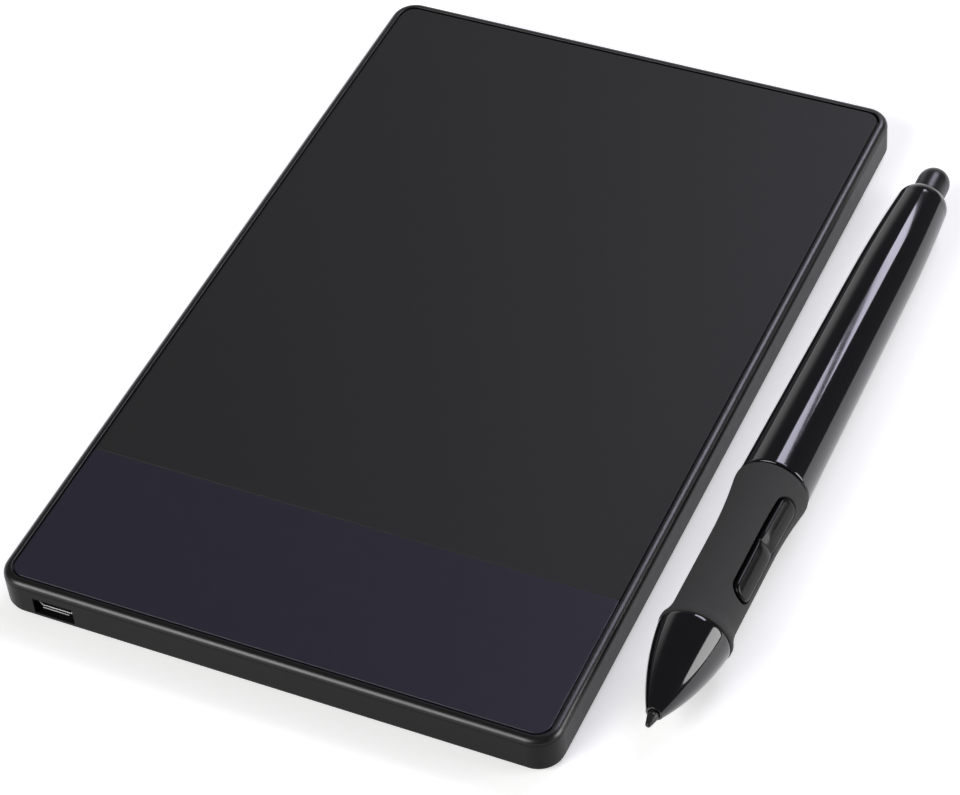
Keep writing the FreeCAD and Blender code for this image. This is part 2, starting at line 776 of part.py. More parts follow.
socket_shell = make_socket_shell()
TONGUE_TOP = f"{SOCKET_TOP} - dims.socket_sheet - dims.tongue_clearance"
TONGUE_START = f"{SOCKET_MOUTH} + dims.tongue_setback"
BLOCK_START = f"{TONGUE_START} + dims.tongue_length - dims.tongue_root"
tongue_blade = box("tongue_blade",
                   ("dims.tongue_width", "dims.tongue_length", "dims.tongue_thickness"),
                   ("dims.socket_x", f"{TONGUE_START} + dims.tongue_length / 2",
                    f"{TONGUE_TOP} - dims.tongue_thickness"))
tongue_block = box("tongue_block", ("dims.tongue_width + dims.tongue_block_step",
                                    "dims.tongue_block_length", "dims.tongue_block_height"),
                   ("dims.socket_x", f"{BLOCK_START} + dims.tongue_block_length / 2",
                    f"{TONGUE_TOP} + dims.tongue_block_rise - dims.tongue_block_height"))
socket_tongue = boolean("Fuse", "socket_tongue", tongue_blade, tongue_block)
nodes.append(socket_tongue)
socket_contacts = group("socket_contacts", [
    box(f"contact_{number}",
        ("dims.contact_width", "dims.contact_length", "dims.contact_thickness"),
        (f"dims.socket_x + {number} * dims.contact_pitch",
         f"{SOCKET_MOUTH} + dims.contact_setback + dims.contact_length / 2",
         f"{TONGUE_TOP} - dims.tongue_thickness - dims.hair_gap - dims.contact_thickness"))
    for number in (-2, -1, 0, 1, 2)])
lay_tablet(socket_shell, socket_tongue, socket_contacts)


# ---------------------------------------------------------------- pen, turned pieces
def turned(name, points, arcs=None):
    """Body turned about the pen's axis; each point is (radius, distance from the tip)."""
    body = new_body(name)
    sketch = new_sketch(body, f"{name}_profile", "XZ_Plane")
    outline(sketch, points, arcs)
    revolve(body, sketch)
    return body


def tube(name, inner, outer, front, back):
    """Plain tube about the pen's axis."""
    return turned(name, [(inner, front), (outer, front), (outer, back), (inner, back)])


nib = turned("nib", [("0", "0"), ("dims.nib_point", "dims.nib_point_height"),
                     ("dims.nib_radius", "dims.nib_taper"),
                     ("dims.nib_radius", "dims.nib_length"), ("0", "dims.nib_length")],
             {0: "dims.nib_dome"})
nib_holder = turned("nib_holder", [
    ("dims.nib_radius + dims.hair_gap", "dims.holder_front"),
    ("dims.holder_radius", "dims.holder_front"),
    ("dims.holder_radius", "dims.holder_back"), ("0", "dims.holder_back"),
    ("0", "dims.nib_length + dims.slip_gap"),
    ("dims.nib_radius + dims.hair_gap", "dims.nib_length + dims.slip_gap")])
ferrite_core = tube("ferrite_core", "dims.ferrite_bore", "dims.ferrite_radius",
                    "dims.ferrite_front", "dims.ferrite_back")
coil_winding = tube("coil_winding", "dims.ferrite_radius + dims.thin_gap", "dims.coil_radius",
                    "dims.ferrite_front + dims.coil_setback",
                    "dims.ferrite_back - dims.coil_end")
BUTTON_FRONT = "dims.sensor_front - dims.sensor_button_height"
force_sensor = turned("force_sensor", [
    ("0", BUTTON_FRONT), ("dims.sensor_button_radius", BUTTON_FRONT),
    ("dims.sensor_button_radius", "dims.sensor_front"),
    ("dims.carrier_bore - dims.slip_gap", "dims.sensor_front"),
    ("dims.carrier_bore - dims.slip_gap", "dims.sensor_back"), ("0", "dims.sensor_back")])
COIL_POCKET = "dims.coil_radius + dims.coil_gap"
nose_cone = turned("nose_cone", [
    ("dims.nib_guide", "dims.cone_front"), ("dims.cone_front_radius", "dims.cone_front"),
    ("dims.cone_back_radius", "dims.cone_back - dims.cone_chamfer_height"),
    ("dims.cone_back_radius - dims.cone_chamfer_width", "dims.cone_back"),
    ("dims.grip_bore", "dims.cone_back"),
    ("dims.grip_bore", "dims.cone_spigot"), (COIL_POCKET, "dims.cone_spigot"),
    (COIL_POCKET, "dims.ferrite_front + dims.coil_setback - dims.coil_gap"),
    ("dims.ferrite_radius + dims.slip_gap",
     "dims.ferrite_front + dims.coil_setback - dims.coil_gap"),
    ("dims.ferrite_radius + dims.slip_gap", "dims.ferrite_front - 2 * dims.slip_gap"),
    ("dims.nib_guide + dims.nib_guide_step", "2 * dims.cone_front"),
    ("dims.nib_guide", "2 * dims.cone_front")],
    {1: "dims.cone_curve"})


def make_carrier():
    """Tube that carries the board, the switch and, in the cup at its rear, the cell."""
    body = turned("pen_carrier", [
        ("dims.carrier_bore", "dims.carrier_front"), ("dims.carrier_radius", "dims.carrier_front"),
        ("dims.carrier_radius", "dims.cup_front"), ("dims.cup_radius", "dims.cup_front"),
        ("dims.cup_radius", "dims.ring_place - dims.ring_groove_half"),
        ("dims.cup_radius - dims.ring_groove_depth", "dims.ring_place - dims.ring_groove_half"),
        ("dims.cup_radius - dims.ring_groove_depth", "dims.ring_place + dims.ring_groove_half"),
        ("dims.cup_radius", "dims.ring_place + dims.ring_groove_half"),
        ("dims.cup_radius", "dims.cup_back"), ("dims.cup_bore", "dims.cup_back"),
        ("dims.cup_bore", "dims.bulkhead_back"), ("dims.bulkhead_bore", "dims.bulkhead_back"),
        ("dims.bulkhead_bore", "dims.bulkhead_front"),
        ("dims.carrier_bore", "dims.bulkhead_front")])
    opening = new_sketch(body, "switch_window", "YZ_Plane", "dims.carrier_radius + dims.cut_lead")
    rectangle(opening, "dims.window_width",
              "dims.switch_back - dims.switch_front + 2 * dims.carrier_margin", "0",
              "(dims.switch_back + dims.switch_front) / 2")
    cut(body, opening, "dims.carrier_radius - dims.window_floor")
    pin_hole = new_sketch(body, "pin_hole", "XZ_Plane", "dims.carrier_radius")
    circles(pin_hole, [("dims.switch_pivot_height", "dims.switch_pivot")],
            "dims.pin_radius + dims.hair_gap")
    cut(body, pin_hole, "2 * dims.carrier_radius")
    return body


def make_grip():
    """Soft sleeve: flared lip at the cone, narrow waist, and a flare at the barrel."""
    body = turned("grip_sleeve", [
        ("dims.grip_bore", "dims.grip_front"),
        ("dims.grip_rim - dims.grip_edge_width", "dims.grip_front"),
        ("dims.grip_rim", "dims.grip_front + dims.grip_edge_height"),
        ("dims.grip_rim", "dims.grip_front + dims.grip_lip"),
        ("dims.grip_waist", "dims.grip_front + dims.grip_lip + dims.grip_lip_sweep"),
        ("dims.grip_waist", "dims.grip_back - dims.grip_waist_end"),
        ("dims.grip_flare", "dims.grip_back - dims.grip_flare_end"),
        ("dims.grip_flare", "dims.grip_back - dims.grip_end_height"),
        ("dims.grip_flare - dims.grip_edge_height", "dims.grip_back"),
        ("dims.grip_bore", "dims.grip_back")],
        {3: "-dims.grip_lip_curve", 5: "-dims.grip_flare_curve"})
    slot = rectangle(new_sketch(body, "switch_slot", "YZ_Plane", "dims.grip_flare + dims.cut_lead"),
                     "dims.switch_width + 2 * dims.window_margin",
                     "dims.switch_back - dims.switch_front + 2 * dims.window_margin", "0",
                     "(dims.switch_back + dims.switch_front) / 2",
                     corner="dims.switch_width / 2 + dims.window_margin - dims.window_flat")
    cut(body, slot, "dims.grip_flare")
    return body


def make_side_switch():
    """Rocker with a press pad at each end and a dip at its pivot."""
    body = new_body("side_switch")
    front, back, pivot = "dims.switch_front", "dims.switch_back", "dims.switch_pivot"
    floor, foot, half = "dims.switch_floor", "dims.plunger_foot", "dims.plunger_half"
    lug, lug_foot = "dims.rocker_lug", "dims.switch_pivot_height - dims.rocker_lug"
    reach = "dims.rocker_dip_reach"
    tips = [f"{pivot} - dims.plunger_reach", f"{pivot} + dims.plunger_reach"]
    sketch = new_sketch(body, "rocker_side", "XZ_Plane", "-dims.switch_width / 2")
    outline(sketch, [
        (floor, front), ("dims.rocker_edge", front),
        ("dims.rocker_front_pad", f"{front} + dims.rocker_front_round"),
        ("dims.rocker_front_pad", f"{pivot} - {reach}"), ("dims.rocker_dip", pivot),
        ("dims.rocker_rise", f"{pivot} + {reach}"),
        ("dims.rocker_rear_pad", f"{back} - dims.rocker_rear_round"),
        ("dims.rocker_rear_pad - dims.rocker_rear_drop", back), (floor, back),
        (floor, f"{tips[1]} + {half}"), (foot, f"{tips[1]} + {half}"),
        (foot, f"{tips[1]} - {half}"), (floor, f"{tips[1]} - {half}"),
        (floor, f"{pivot} + {lug}"), (lug_foot, f"{pivot} + {lug}"),
        (lug_foot, f"{pivot} - {lug}"), (floor, f"{pivot} - {lug}"),
        (floor, f"{tips[0]} + {half}"), (foot, f"{tips[0]} + {half}"),
        (foot, f"{tips[0]} - {half}"), (floor, f"{tips[0]} - {half}")],
        {3: "-dims.rocker_dip_curve", 4: "-dims.rocker_dip_curve", 5: "-dims.rocker_rear_curve"})
    blank = pad(body, sketch, "dims.switch_width")
    side = value("dims.switch_width / 2")
    ends = edges_where(blank, lambda b: b.ZLength < 1e-6 and b.YLength < 1e-6
                       and abs(abs(b.YMin) - side) < 1e-3
                       and min(abs(b.ZMin - value(front)), abs(b.ZMin - value(back))) < 1e-3)
    dress(body, blank, ends, "dims.switch_width / 2 - dims.rocker_end_flat")
    hole = new_sketch(body, "rocker_hole", "XZ_Plane", "dims.switch_width")
    circles(hole, [("dims.switch_pivot_height", pivot)], "dims.pin_radius + dims.pin_gap")
    cut(body, hole, "2 * dims.switch_width")
    return body


pen_carrier = make_carrier()
grip_sleeve = make_grip()
side_switch = make_side_switch()
switch_pin = new_body("switch_pin")
pin_sketch = new_sketch(switch_pin, "pin_section", "XZ_Plane", "-dims.pin_length / 2")
circles(pin_sketch, [("dims.switch_pivot_height", "dims.switch_pivot")], "dims.pin_radius")
pad(switch_pin, pin_sketch, "dims.pin_length")

ring = doc.addObject("Part::Torus", "ring")
bind(ring, "Radius1", "dims.barrel_mouth_bore - dims.ring_wire - dims.ring_gap")
bind(ring, "Radius2", "dims.ring_wire")
bind(ring, "Placement.Base.z", "dims.ring_place")
barrel_ring = group("barrel_ring", [ring])

# ---------------------------------------------------------------- pen, board and switches
BOARD_MIDDLE = "(dims.pen_board_front + dims.pen_board_back) / 2"


def pen_block(name, thick, wide, long, low, middle, y="0"):
    """Block on the pen's board: thick along local X, wide along Y, long along the pen."""
    return box(name, (thick, wide, long), (f"{low} + ({thick}) / 2", y, f"{middle} - ({long}) / 2"))


pen_board = group("pen_board", [
    pen_block("pen_board_sheet", "dims.pen_board_high - dims.pen_board_low",
              "dims.pen_board_width", "dims.pen_board_back - dims.pen_board_front",
              "dims.pen_board_low", BOARD_MIDDLE)])
# Width, length and place along the pen
PEN_CHIPS = [("5", "5", "38.1"), ("3", "3", "45.1"), ("4", "4", "52.1")]
pen_chips = group("pen_chips", [
    pen_block(f"pen_chip_{number}", "dims.pen_chip_height", wide, long,
              "dims.pen_board_low - dims.board_gap - dims.pen_chip_height", middle)
    for number, (wide, long, middle) in enumerate(PEN_CHIPS, start=1)])
dome_switches = group("dome_switches", [
    pen_block(f"dome_base_{number}", "dims.dome_height", "dims.dome_width", "dims.dome_length",
              "dims.pen_board_high + dims.thin_gap",
              f"dims.switch_pivot + {side} * dims.plunger_reach")
    for number, side in enumerate((-1, 1), start=1)])

# ---------------------------------------------------------------- pen, cell and barrel
CELL_BACK = "dims.cell_front + dims.cell_length"
PLATE_FRONT = "dims.bulkhead_back + dims.slip_gap"
PLATE_BACK = f"{PLATE_FRONT} + dims.contact_plate_thickness"
battery_contact = turned("battery_contact", [
    ("0", PLATE_FRONT), ("dims.contact_plate_radius", PLATE_FRONT),
    ("dims.contact_plate_radius", PLATE_BACK), ("dims.contact_button_base", PLATE_BACK),
    ("dims.contact_button_tip", "dims.cell_front - dims.slip_gap"),
    ("0", "dims.cell_front - dims.slip_gap")])
CELL_SHOULDER = "dims.cell_front + dims.cell_button_height"
battery_cell = turned("battery_cell", [
    ("0", "dims.cell_front"), ("dims.cell_button_radius", "dims.cell_front"),
    ("dims.cell_button_radius", CELL_SHOULDER), ("dims.cell_radius - dims.cell_edge", CELL_SHOULDER),
    ("dims.cell_radius", f"{CELL_SHOULDER} + dims.cell_edge"),
    ("dims.cell_radius", f"{CELL_BACK} - dims.cell_edge"),
    ("dims.cell_radius - dims.cell_edge", CELL_BACK), ("0", CELL_BACK)])
contact_ring = tube("contact_ring", "dims.cup_bore + dims.slip_gap",
                    "dims.cup_radius - dims.contact_ring_inset", "dims.cup_back + dims.hair_gap",
                    "dims.cup_back + dims.contact_ring_thickness")


def make_rear_barrel():
    """Tapered barrel, bored for the cell, with a groove for the contact strip."""
    body = turned("rear_barrel", [
        ("dims.barrel_mouth_bore", "dims.barrel_front"),
        ("dims.barrel_radius - dims.mouth_chamfer_width", "dims.barrel_front"),
        ("dims.barrel_radius", "dims.barrel_front + dims.mouth_chamfer_height"),
        ("dims.barrel_taper_radius", "dims.barrel_taper_end"),
        ("dims.barrel_shoulder_radius", "dims.barrel_shoulder"),
        ("dims.barrel_rim_radius", "dims.barrel_back"),
        ("dims.knob_stem + dims.slip_gap", "dims.barrel_back"),
        ("dims.knob_stem + dims.slip_gap", "dims.barrel_back - dims.knob_socket"),
        ("dims.barrel_core", "dims.barrel_back - dims.knob_socket"),
        ("dims.barrel_core", "dims.barrel_bore_end"),
        ("dims.barrel_bore", "dims.barrel_bore_end"), ("dims.barrel_bore", "dims.barrel_mouth_depth"),
        ("dims.barrel_mouth_bore", "dims.barrel_mouth_depth")],
        {3: "dims.barrel_curve", 4: "dims.barrel_rim_round"})
    groove = rectangle(new_sketch(body, "strip_groove", offset="dims.barrel_bore_end"),
                       "dims.strip_groove_depth", "dims.strip_groove_width",
                       "dims.strip_groove_place")
    cut(body, groove, "dims.barrel_bore_end - dims.barrel_mouth_depth + 2 * dims.cut_lead")
    return body


rear_barrel = make_rear_barrel()
contact_strip = group("contact_strip", [
    box("strip_blade", ("dims.strip_thickness", "dims.strip_width",
                        "dims.barrel_bore_end - dims.cup_back"
                        " - dims.strip_front_gap - dims.strip_rear_gap"),
        ("dims.strip_place", "0", "dims.cup_back + dims.strip_front_gap"))])
SEAT_BACK = "dims.barrel_bore_end - dims.slip_gap"
spring_seat = tube("spring_seat", "dims.seat_bore", "dims.seat_radius",
                   f"{SEAT_BACK} - dims.seat_thickness", SEAT_BACK)


def make_battery_spring():
    """Coil spring that presses the cell forward."""
    wire, mean, turns = (value(f"dims.spring_{part}") for part in ("wire", "mean", "turns"))
    start = value(f"{CELL_BACK} + 2 * dims.slip_gap") + wire
    height = value(f"{SEAT_BACK} - dims.seat_thickness - dims.slip_gap") - wire - start
    path = Part.makeHelix(height / turns, height, mean)
    section = Part.Wire([Part.Circle(FreeCAD.Vector(mean, 0, 0), FreeCAD.Vector(0, 1, 0),
                                     wire).toShape()])
    coil = doc.addObject("Part::Feature", "spring_coil")
    coil.Shape = Part.Wire(path.Edges).makePipeShell([section], True, True)
    coil.Placement.Base.z = start
    return group("battery_spring", [coil])


battery_spring = make_battery_spring()
tail_knob = turned("tail_knob", [
    ("0", "dims.barrel_back - dims.knob_socket + dims.knob_socket_gap"),
    ("dims.knob_stem", "dims.barrel_back - dims.knob_socket + dims.knob_socket_gap"),
    ("dims.knob_stem", "dims.knob_front"),
    ("dims.knob_radius - dims.knob_chamfer_width", "dims.knob_front"),
    ("dims.knob_radius", "dims.knob_front + dims.knob_chamfer_height"),
    ("dims.knob_radius", "dims.knob_dome"), ("dims.knob_crown", "dims.knob_back"),
    ("0", "dims.knob_back")],
    {5: "dims.knob_crown_curve"})

lay_pen(nib, nib_holder, ferrite_core, coil_winding, force_sensor, nose_cone, pen_carrier,
        grip_sleeve, side_switch, switch_pin, barrel_ring, pen_board, pen_chips,
        dome_switches, battery_contact, battery_cell, contact_ring, rear_barrel, contact_strip,
        spring_seat, battery_spring, tail_knob)

# ---------------------------------------------------------------- check and write
doc.recompute()
for obj in doc.Objects:
    if {"Invalid", "Error"} & set(obj.State):
        raise RuntimeError(f"{obj.Name} failed: {obj.State}")
os.makedirs("parts", exist_ok=True)
for node in nodes:
    shape = node.Shape
    if shape.isNull() or not shape.isValid() or not shape.Solids or shape.Volume <= 0:
        raise RuntimeError(f"{node.Label} has no valid solid")
    shape.exportStep(f"parts/{node.Label}.step")
    extent = shape.BoundBox
    print(f"{node.Label:18s} {len(shape.Solids):3d} {shape.Volume:9.1f}"
          f"  x {extent.XMin:8.2f} {extent.XMax:8.2f}  y {extent.YMin:8.2f} {extent.YMax:8.2f}"
          f"  z {extent.ZMin:6.2f} {extent.ZMax:6.2f}")
print(len(nodes), "nodes")
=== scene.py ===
"""The looks of the drawing tablet and its pen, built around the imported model.

Lengths are in millimetres in the piece builders and become metres when a piece is placed.  Tablet
pieces are drawn about the tablet's own middle, on the table; pen pieces are drawn about the pen's
own axes, with Z from the nib's tip to the tail and X towards the side switch.
"""

import json
import math

import bmesh
import bpy
from mathutils import Matrix, Vector


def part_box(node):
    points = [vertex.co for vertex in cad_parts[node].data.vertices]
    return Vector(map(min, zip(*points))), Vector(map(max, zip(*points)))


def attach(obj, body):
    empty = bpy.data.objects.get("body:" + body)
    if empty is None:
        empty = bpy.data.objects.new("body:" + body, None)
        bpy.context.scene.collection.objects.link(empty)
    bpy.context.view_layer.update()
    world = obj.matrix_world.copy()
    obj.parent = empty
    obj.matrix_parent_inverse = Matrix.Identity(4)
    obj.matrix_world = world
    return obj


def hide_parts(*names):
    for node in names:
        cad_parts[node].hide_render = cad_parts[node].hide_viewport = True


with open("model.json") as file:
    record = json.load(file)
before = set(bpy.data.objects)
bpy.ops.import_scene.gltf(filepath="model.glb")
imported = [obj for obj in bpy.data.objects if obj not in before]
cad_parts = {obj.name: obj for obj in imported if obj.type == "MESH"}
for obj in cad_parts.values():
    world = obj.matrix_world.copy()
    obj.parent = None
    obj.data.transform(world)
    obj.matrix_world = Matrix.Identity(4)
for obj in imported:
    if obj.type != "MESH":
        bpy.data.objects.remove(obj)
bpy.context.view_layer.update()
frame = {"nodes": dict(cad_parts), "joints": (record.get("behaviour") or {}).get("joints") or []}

MM = 0.001


# ---------------------------------------------------------------- places, from the frame
def middle(low, high):
    return (low + high) / 2


case_low, case_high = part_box("upper_case")
TABLET = Matrix.Translation((middle(case_low, case_high).x, middle(case_low, case_high).y, 0))
CASE_TOP = case_high.z / MM

# the rocker's pin: its place along the pen, and its height over the pen's axis
SWITCH_PIVOT = 43.2
PIVOT_HEIGHT = 3.2


def pen_axes():
    """Matrix of the pen's own axes, from the barrel's slide and the rocker's hinge."""
    joints = {joint["name"]: joint for joint in frame["joints"]}
    along = Vector(joints["barrel_pull"]["axis"]).normalized()
    across = Vector(joints["side_switch_rock"]["axis"]).normalized()
    to_switch = across.cross(along)
    pivot = Vector(joints["side_switch_rock"]["pos_m"])
    tip = pivot - (to_switch * PIVOT_HEIGHT + along * SWITCH_PIVOT) * MM
    axes = Matrix((to_switch, across, along)).transposed().to_4x4()
    return Matrix.Translation(tip) @ axes


PEN = pen_axes()


def span(node, place, axis):
    """Where a node begins and ends along an axis of a place, in millimetres."""
    to_place = place.inverted()
    reach = [(to_place @ vertex.co)[axis] / MM for vertex in frame["nodes"][node].data.vertices]
    return min(reach), max(reach)


def pen_span(node):
    """Where a pen node begins and ends along the pen, in millimetres from the nib's tip."""
    return span(node, PEN, 2)


# ---------------------------------------------------------------- mesh helpers
SEGMENTS = 96
WELD_DISTANCE = 1e-7
SHORTEST_EDGE = 1e-8
SMALLEST_RADIUS = 0.01


def piece_from(name, shell, place, sharp_angle=35):
    """Object from a shell of points, in millimetres, and faces, shaded smooth between sharp edges."""
    vertices, faces = shell
    mesh = bpy.data.meshes.new(name)
    mesh.from_pydata([Vector(point) * MM for point in vertices], [], faces)
    build = bmesh.new()
    build.from_mesh(mesh)
    bmesh.ops.remove_doubles(build, verts=build.verts, dist=WELD_DISTANCE)
    bmesh.ops.dissolve_degenerate(build, edges=build.edges, dist=SHORTEST_EDGE)
    bmesh.ops.recalc_face_normals(build, faces=build.faces)
    for face in build.faces:
        face.smooth = True
    for edge in build.edges:
        edge.smooth = edge.calc_face_angle(0) < math.radians(sharp_angle)
    build.to_mesh(mesh)
    build.free()
    mesh.transform(place)
    piece = bpy.data.objects.new(name, mesh)
    bpy.context.scene.collection.objects.link(piece)
    weighted = piece.modifiers.new("even_shading", "WEIGHTED_NORMAL")
    weighted.keep_sharp = True
    return piece


def together(*shells):
    """One shell made of several."""
    vertices, faces = [], []
    for points, sides in shells:
        start = len(vertices)
        vertices += points
        faces += [tuple(start + corner for corner in side) for side in sides]
    return vertices, faces


def arc(centre, radius, start, end, steps):
    """Points of an arc in a profile plane; angles in degrees from the first axis."""
    turns = [math.radians(start + (end - start) * step / steps) for step in range(steps + 1)]
    return [(centre[0] + radius * math.cos(turn), centre[1] + radius * math.sin(turn))
            for turn in turns]


def softened(points, radii, steps=4):
    """Closed outline with some of its corners rounded; radii maps a point's number to a radius."""
    outline = []
    for number, here in enumerate(points):
        if number not in radii:
            outline.append(here)
            continue
        corner = Vector(here)
        before = (Vector(points[number - 1]) - corner).normalized()
        after = (Vector(points[(number + 1) % len(points)]) - corner).normalized()
        half = before.angle(after) / 2
        radius = radii[number]
        reach = radius / math.tan(half)
        centre = corner + (before + after).normalized() * radius / math.sin(half)
        first, last = corner + before * reach, corner + after * reach
        for step in range(steps + 1):
            share = step / steps
            spoke = (first - centre).lerp(last - centre, share).normalized()
            outline.append(tuple(centre + spoke * radius))
    return outline


def between(first, last, steps, bulge):
    """Points from first to last along a parabola that stands out by bulge at its middle."""
    way = Vector(last) - Vector(first)
    side = Vector((way.y, -way.x)).normalized()
    return [tuple(Vector(first) + way * (step / steps)
                  + side * bulge * 4 * (step / steps) * (1 - step / steps))
            for step in range(steps + 1)]


def lathe(profile, segments=SEGMENTS, reshape=None, centre=(0, 0)):
    """Shell turned about an upright axis from a closed profile of (radius, height) points.

    reshape(radius, turn) may change a point's radius as the profile goes round.
    """
    rows = len(profile)
    vertices = []
    for segment in range(segments):
        turn = 2 * math.pi * segment / segments
        for radius, height in profile:
            here = reshape(radius, turn) if reshape else radius
            vertices.append((centre[0] + here * math.cos(turn), centre[1] + here * math.sin(turn),
                             height))
    faces = []
    for segment in range(segments):
        following = (segment + 1) % segments
        for row in range(rows):
            after = (row + 1) % rows
            if profile[row][0] == 0 and profile[after][0] == 0:
                continue
            faces.append((segment * rows + row, following * rows + row,
                          following * rows + after, segment * rows + after))
    return vertices, faces


def strip_outline(half_width, low, high, radii, inset=0.0, stations=(), steps=8):
    """Outline of a strip with round corners, pulled in by inset, mirrored about its middle line.

    radii are the corner radii at the low and the high end, and stations are further points
    along each side.
    """
    ends = (low + radii[0], high - radii[1])
    right = []
    for radius, end, start in zip(radii, ends, (-90, 0)):
        right += arc((half_width - radius, end), max(radius - inset, SMALLEST_RADIUS),
                     start, start + 90, steps)
        if start < 0:
            right += [(half_width - inset, station) for station in stations]
    return right + [(-x, y) for x, y in reversed(right)]


def stack(rings):
    """Closed shell through mirrored rings that all have the same number of points."""
    count = len(rings[0])
    faces = []
    for level in range(len(rings) - 1):
        low, high = level * count, (level + 1) * count
        for point in range(count):
            after = (point + 1) % count
            faces.append((low + point, low + after, high + after, high + point))
    for start in (0, (len(rings) - 1) * count):
        for point in range(count // 2 - 1):
            across = count - 1 - point
            faces.append((start + point, start + point + 1, start + across - 1, start + across))
    return [point for ring in rings for point in ring], faces


# ---------------------------------------------------------------- materials
# the noise's values between which the colour and the roughness go from end to end
RAMP_STOPS = (0.35, 0.65)
NOISE_REACH = (0.3, 0.7)
# size of the gloss patches as a share of the colour's, and the least roughness a finish gets
GLOSS_PATCH = 0.6
SMOOTHEST = 0.02
# heights between which the case turns from wall to shoulder, and the specular level of each
SHOULDER_START, SHOULDER_END = CASE_TOP - 1.1, CASE_TOP - 0.6
WALL_SPECULAR, SHOULDER_SPECULAR = 0.12, 0.65


def graded(tree, source, start, end, first=0, last=1):
    """Node whose result goes from first to last while its source goes from start to end."""
    node = tree.nodes.new("ShaderNodeMapRange")
    for socket, number in (("From Min", start), ("From Max", end),
                           ("To Min", first), ("To Max", last)):
        node.inputs[socket].default_value = number
    tree.links.new(source, node.inputs["Value"])
    return node


def surface(name, colour, roughness, variation=0.12, mottle=4.0, grain=0.15, grain_depth=0.002,
            spread=0.06, **settings):
    """Procedural finish: colour mottling, uneven gloss and a fine grain in the surface.

    mottle and grain are the sizes of the patterns and grain_depth the grain's height, all in
    millimetres; spread is how far the roughness wanders from its middle value.
    """
    finish = bpy.data.materials.new(name)
    finish.use_nodes = True
    nodes, links = finish.node_tree.nodes, finish.node_tree.links
    shader = nodes["Principled BSDF"]
    place = nodes.new("ShaderNodeTexCoord").outputs["Object"]

    def noise(size, detail):
        texture = nodes.new("ShaderNodeTexNoise")
        texture.inputs["Scale"].default_value = 1 / (size * MM)
        texture.inputs["Detail"].default_value = detail
        links.new(place, texture.inputs["Vector"])
        return texture.outputs["Fac"]

    patches = noise(mottle, detail=4)
    ramp = nodes.new("ShaderNodeValToRGB")
    for stop, share, at in zip(ramp.color_ramp.elements, (1 - variation, 1 + variation),
                               RAMP_STOPS):
        stop.position = at
        stop.color = (*(min(1, part * share) for part in colour), 1)
    links.new(patches, ramp.inputs["Fac"])
    links.new(ramp.outputs["Color"], shader.inputs["Base Color"])
    gloss = graded(finish.node_tree, noise(mottle * GLOSS_PATCH, detail=3), *NOISE_REACH,
                   max(SMOOTHEST, roughness - spread), min(1, roughness + spread))
    links.new(gloss.outputs["Result"], shader.inputs["Roughness"])
    if grain_depth:
        bump = nodes.new("ShaderNodeBump")
        bump.inputs["Distance"].default_value = grain_depth * MM
        links.new(noise(grain, detail=2), bump.inputs["Height"])
        links.new(bump.outputs["Normal"], shader.inputs["Normal"])
    for socket, number in settings.items():
        label = socket.replace("_", " ").title().replace("Ior", "IOR")
        shader.inputs[label].default_value = number
    return finish


def polish_shoulder(finish, start, end, wall, shoulder):
    """Let the specular level rise from the wall's to the shoulder's between two heights."""
    nodes, links = finish.node_tree.nodes, finish.node_tree.links
    ways = nodes.new("ShaderNodeSeparateXYZ")
    links.new(nodes["Texture Coordinate"].outputs["Object"], ways.inputs["Vector"])
    level = graded(finish.node_tree, ways.outputs["Z"], start * MM, end * MM, wall, shoulder)
    links.new(level.outputs["Result"], nodes["Principled BSDF"].inputs["Specular IOR Level"])


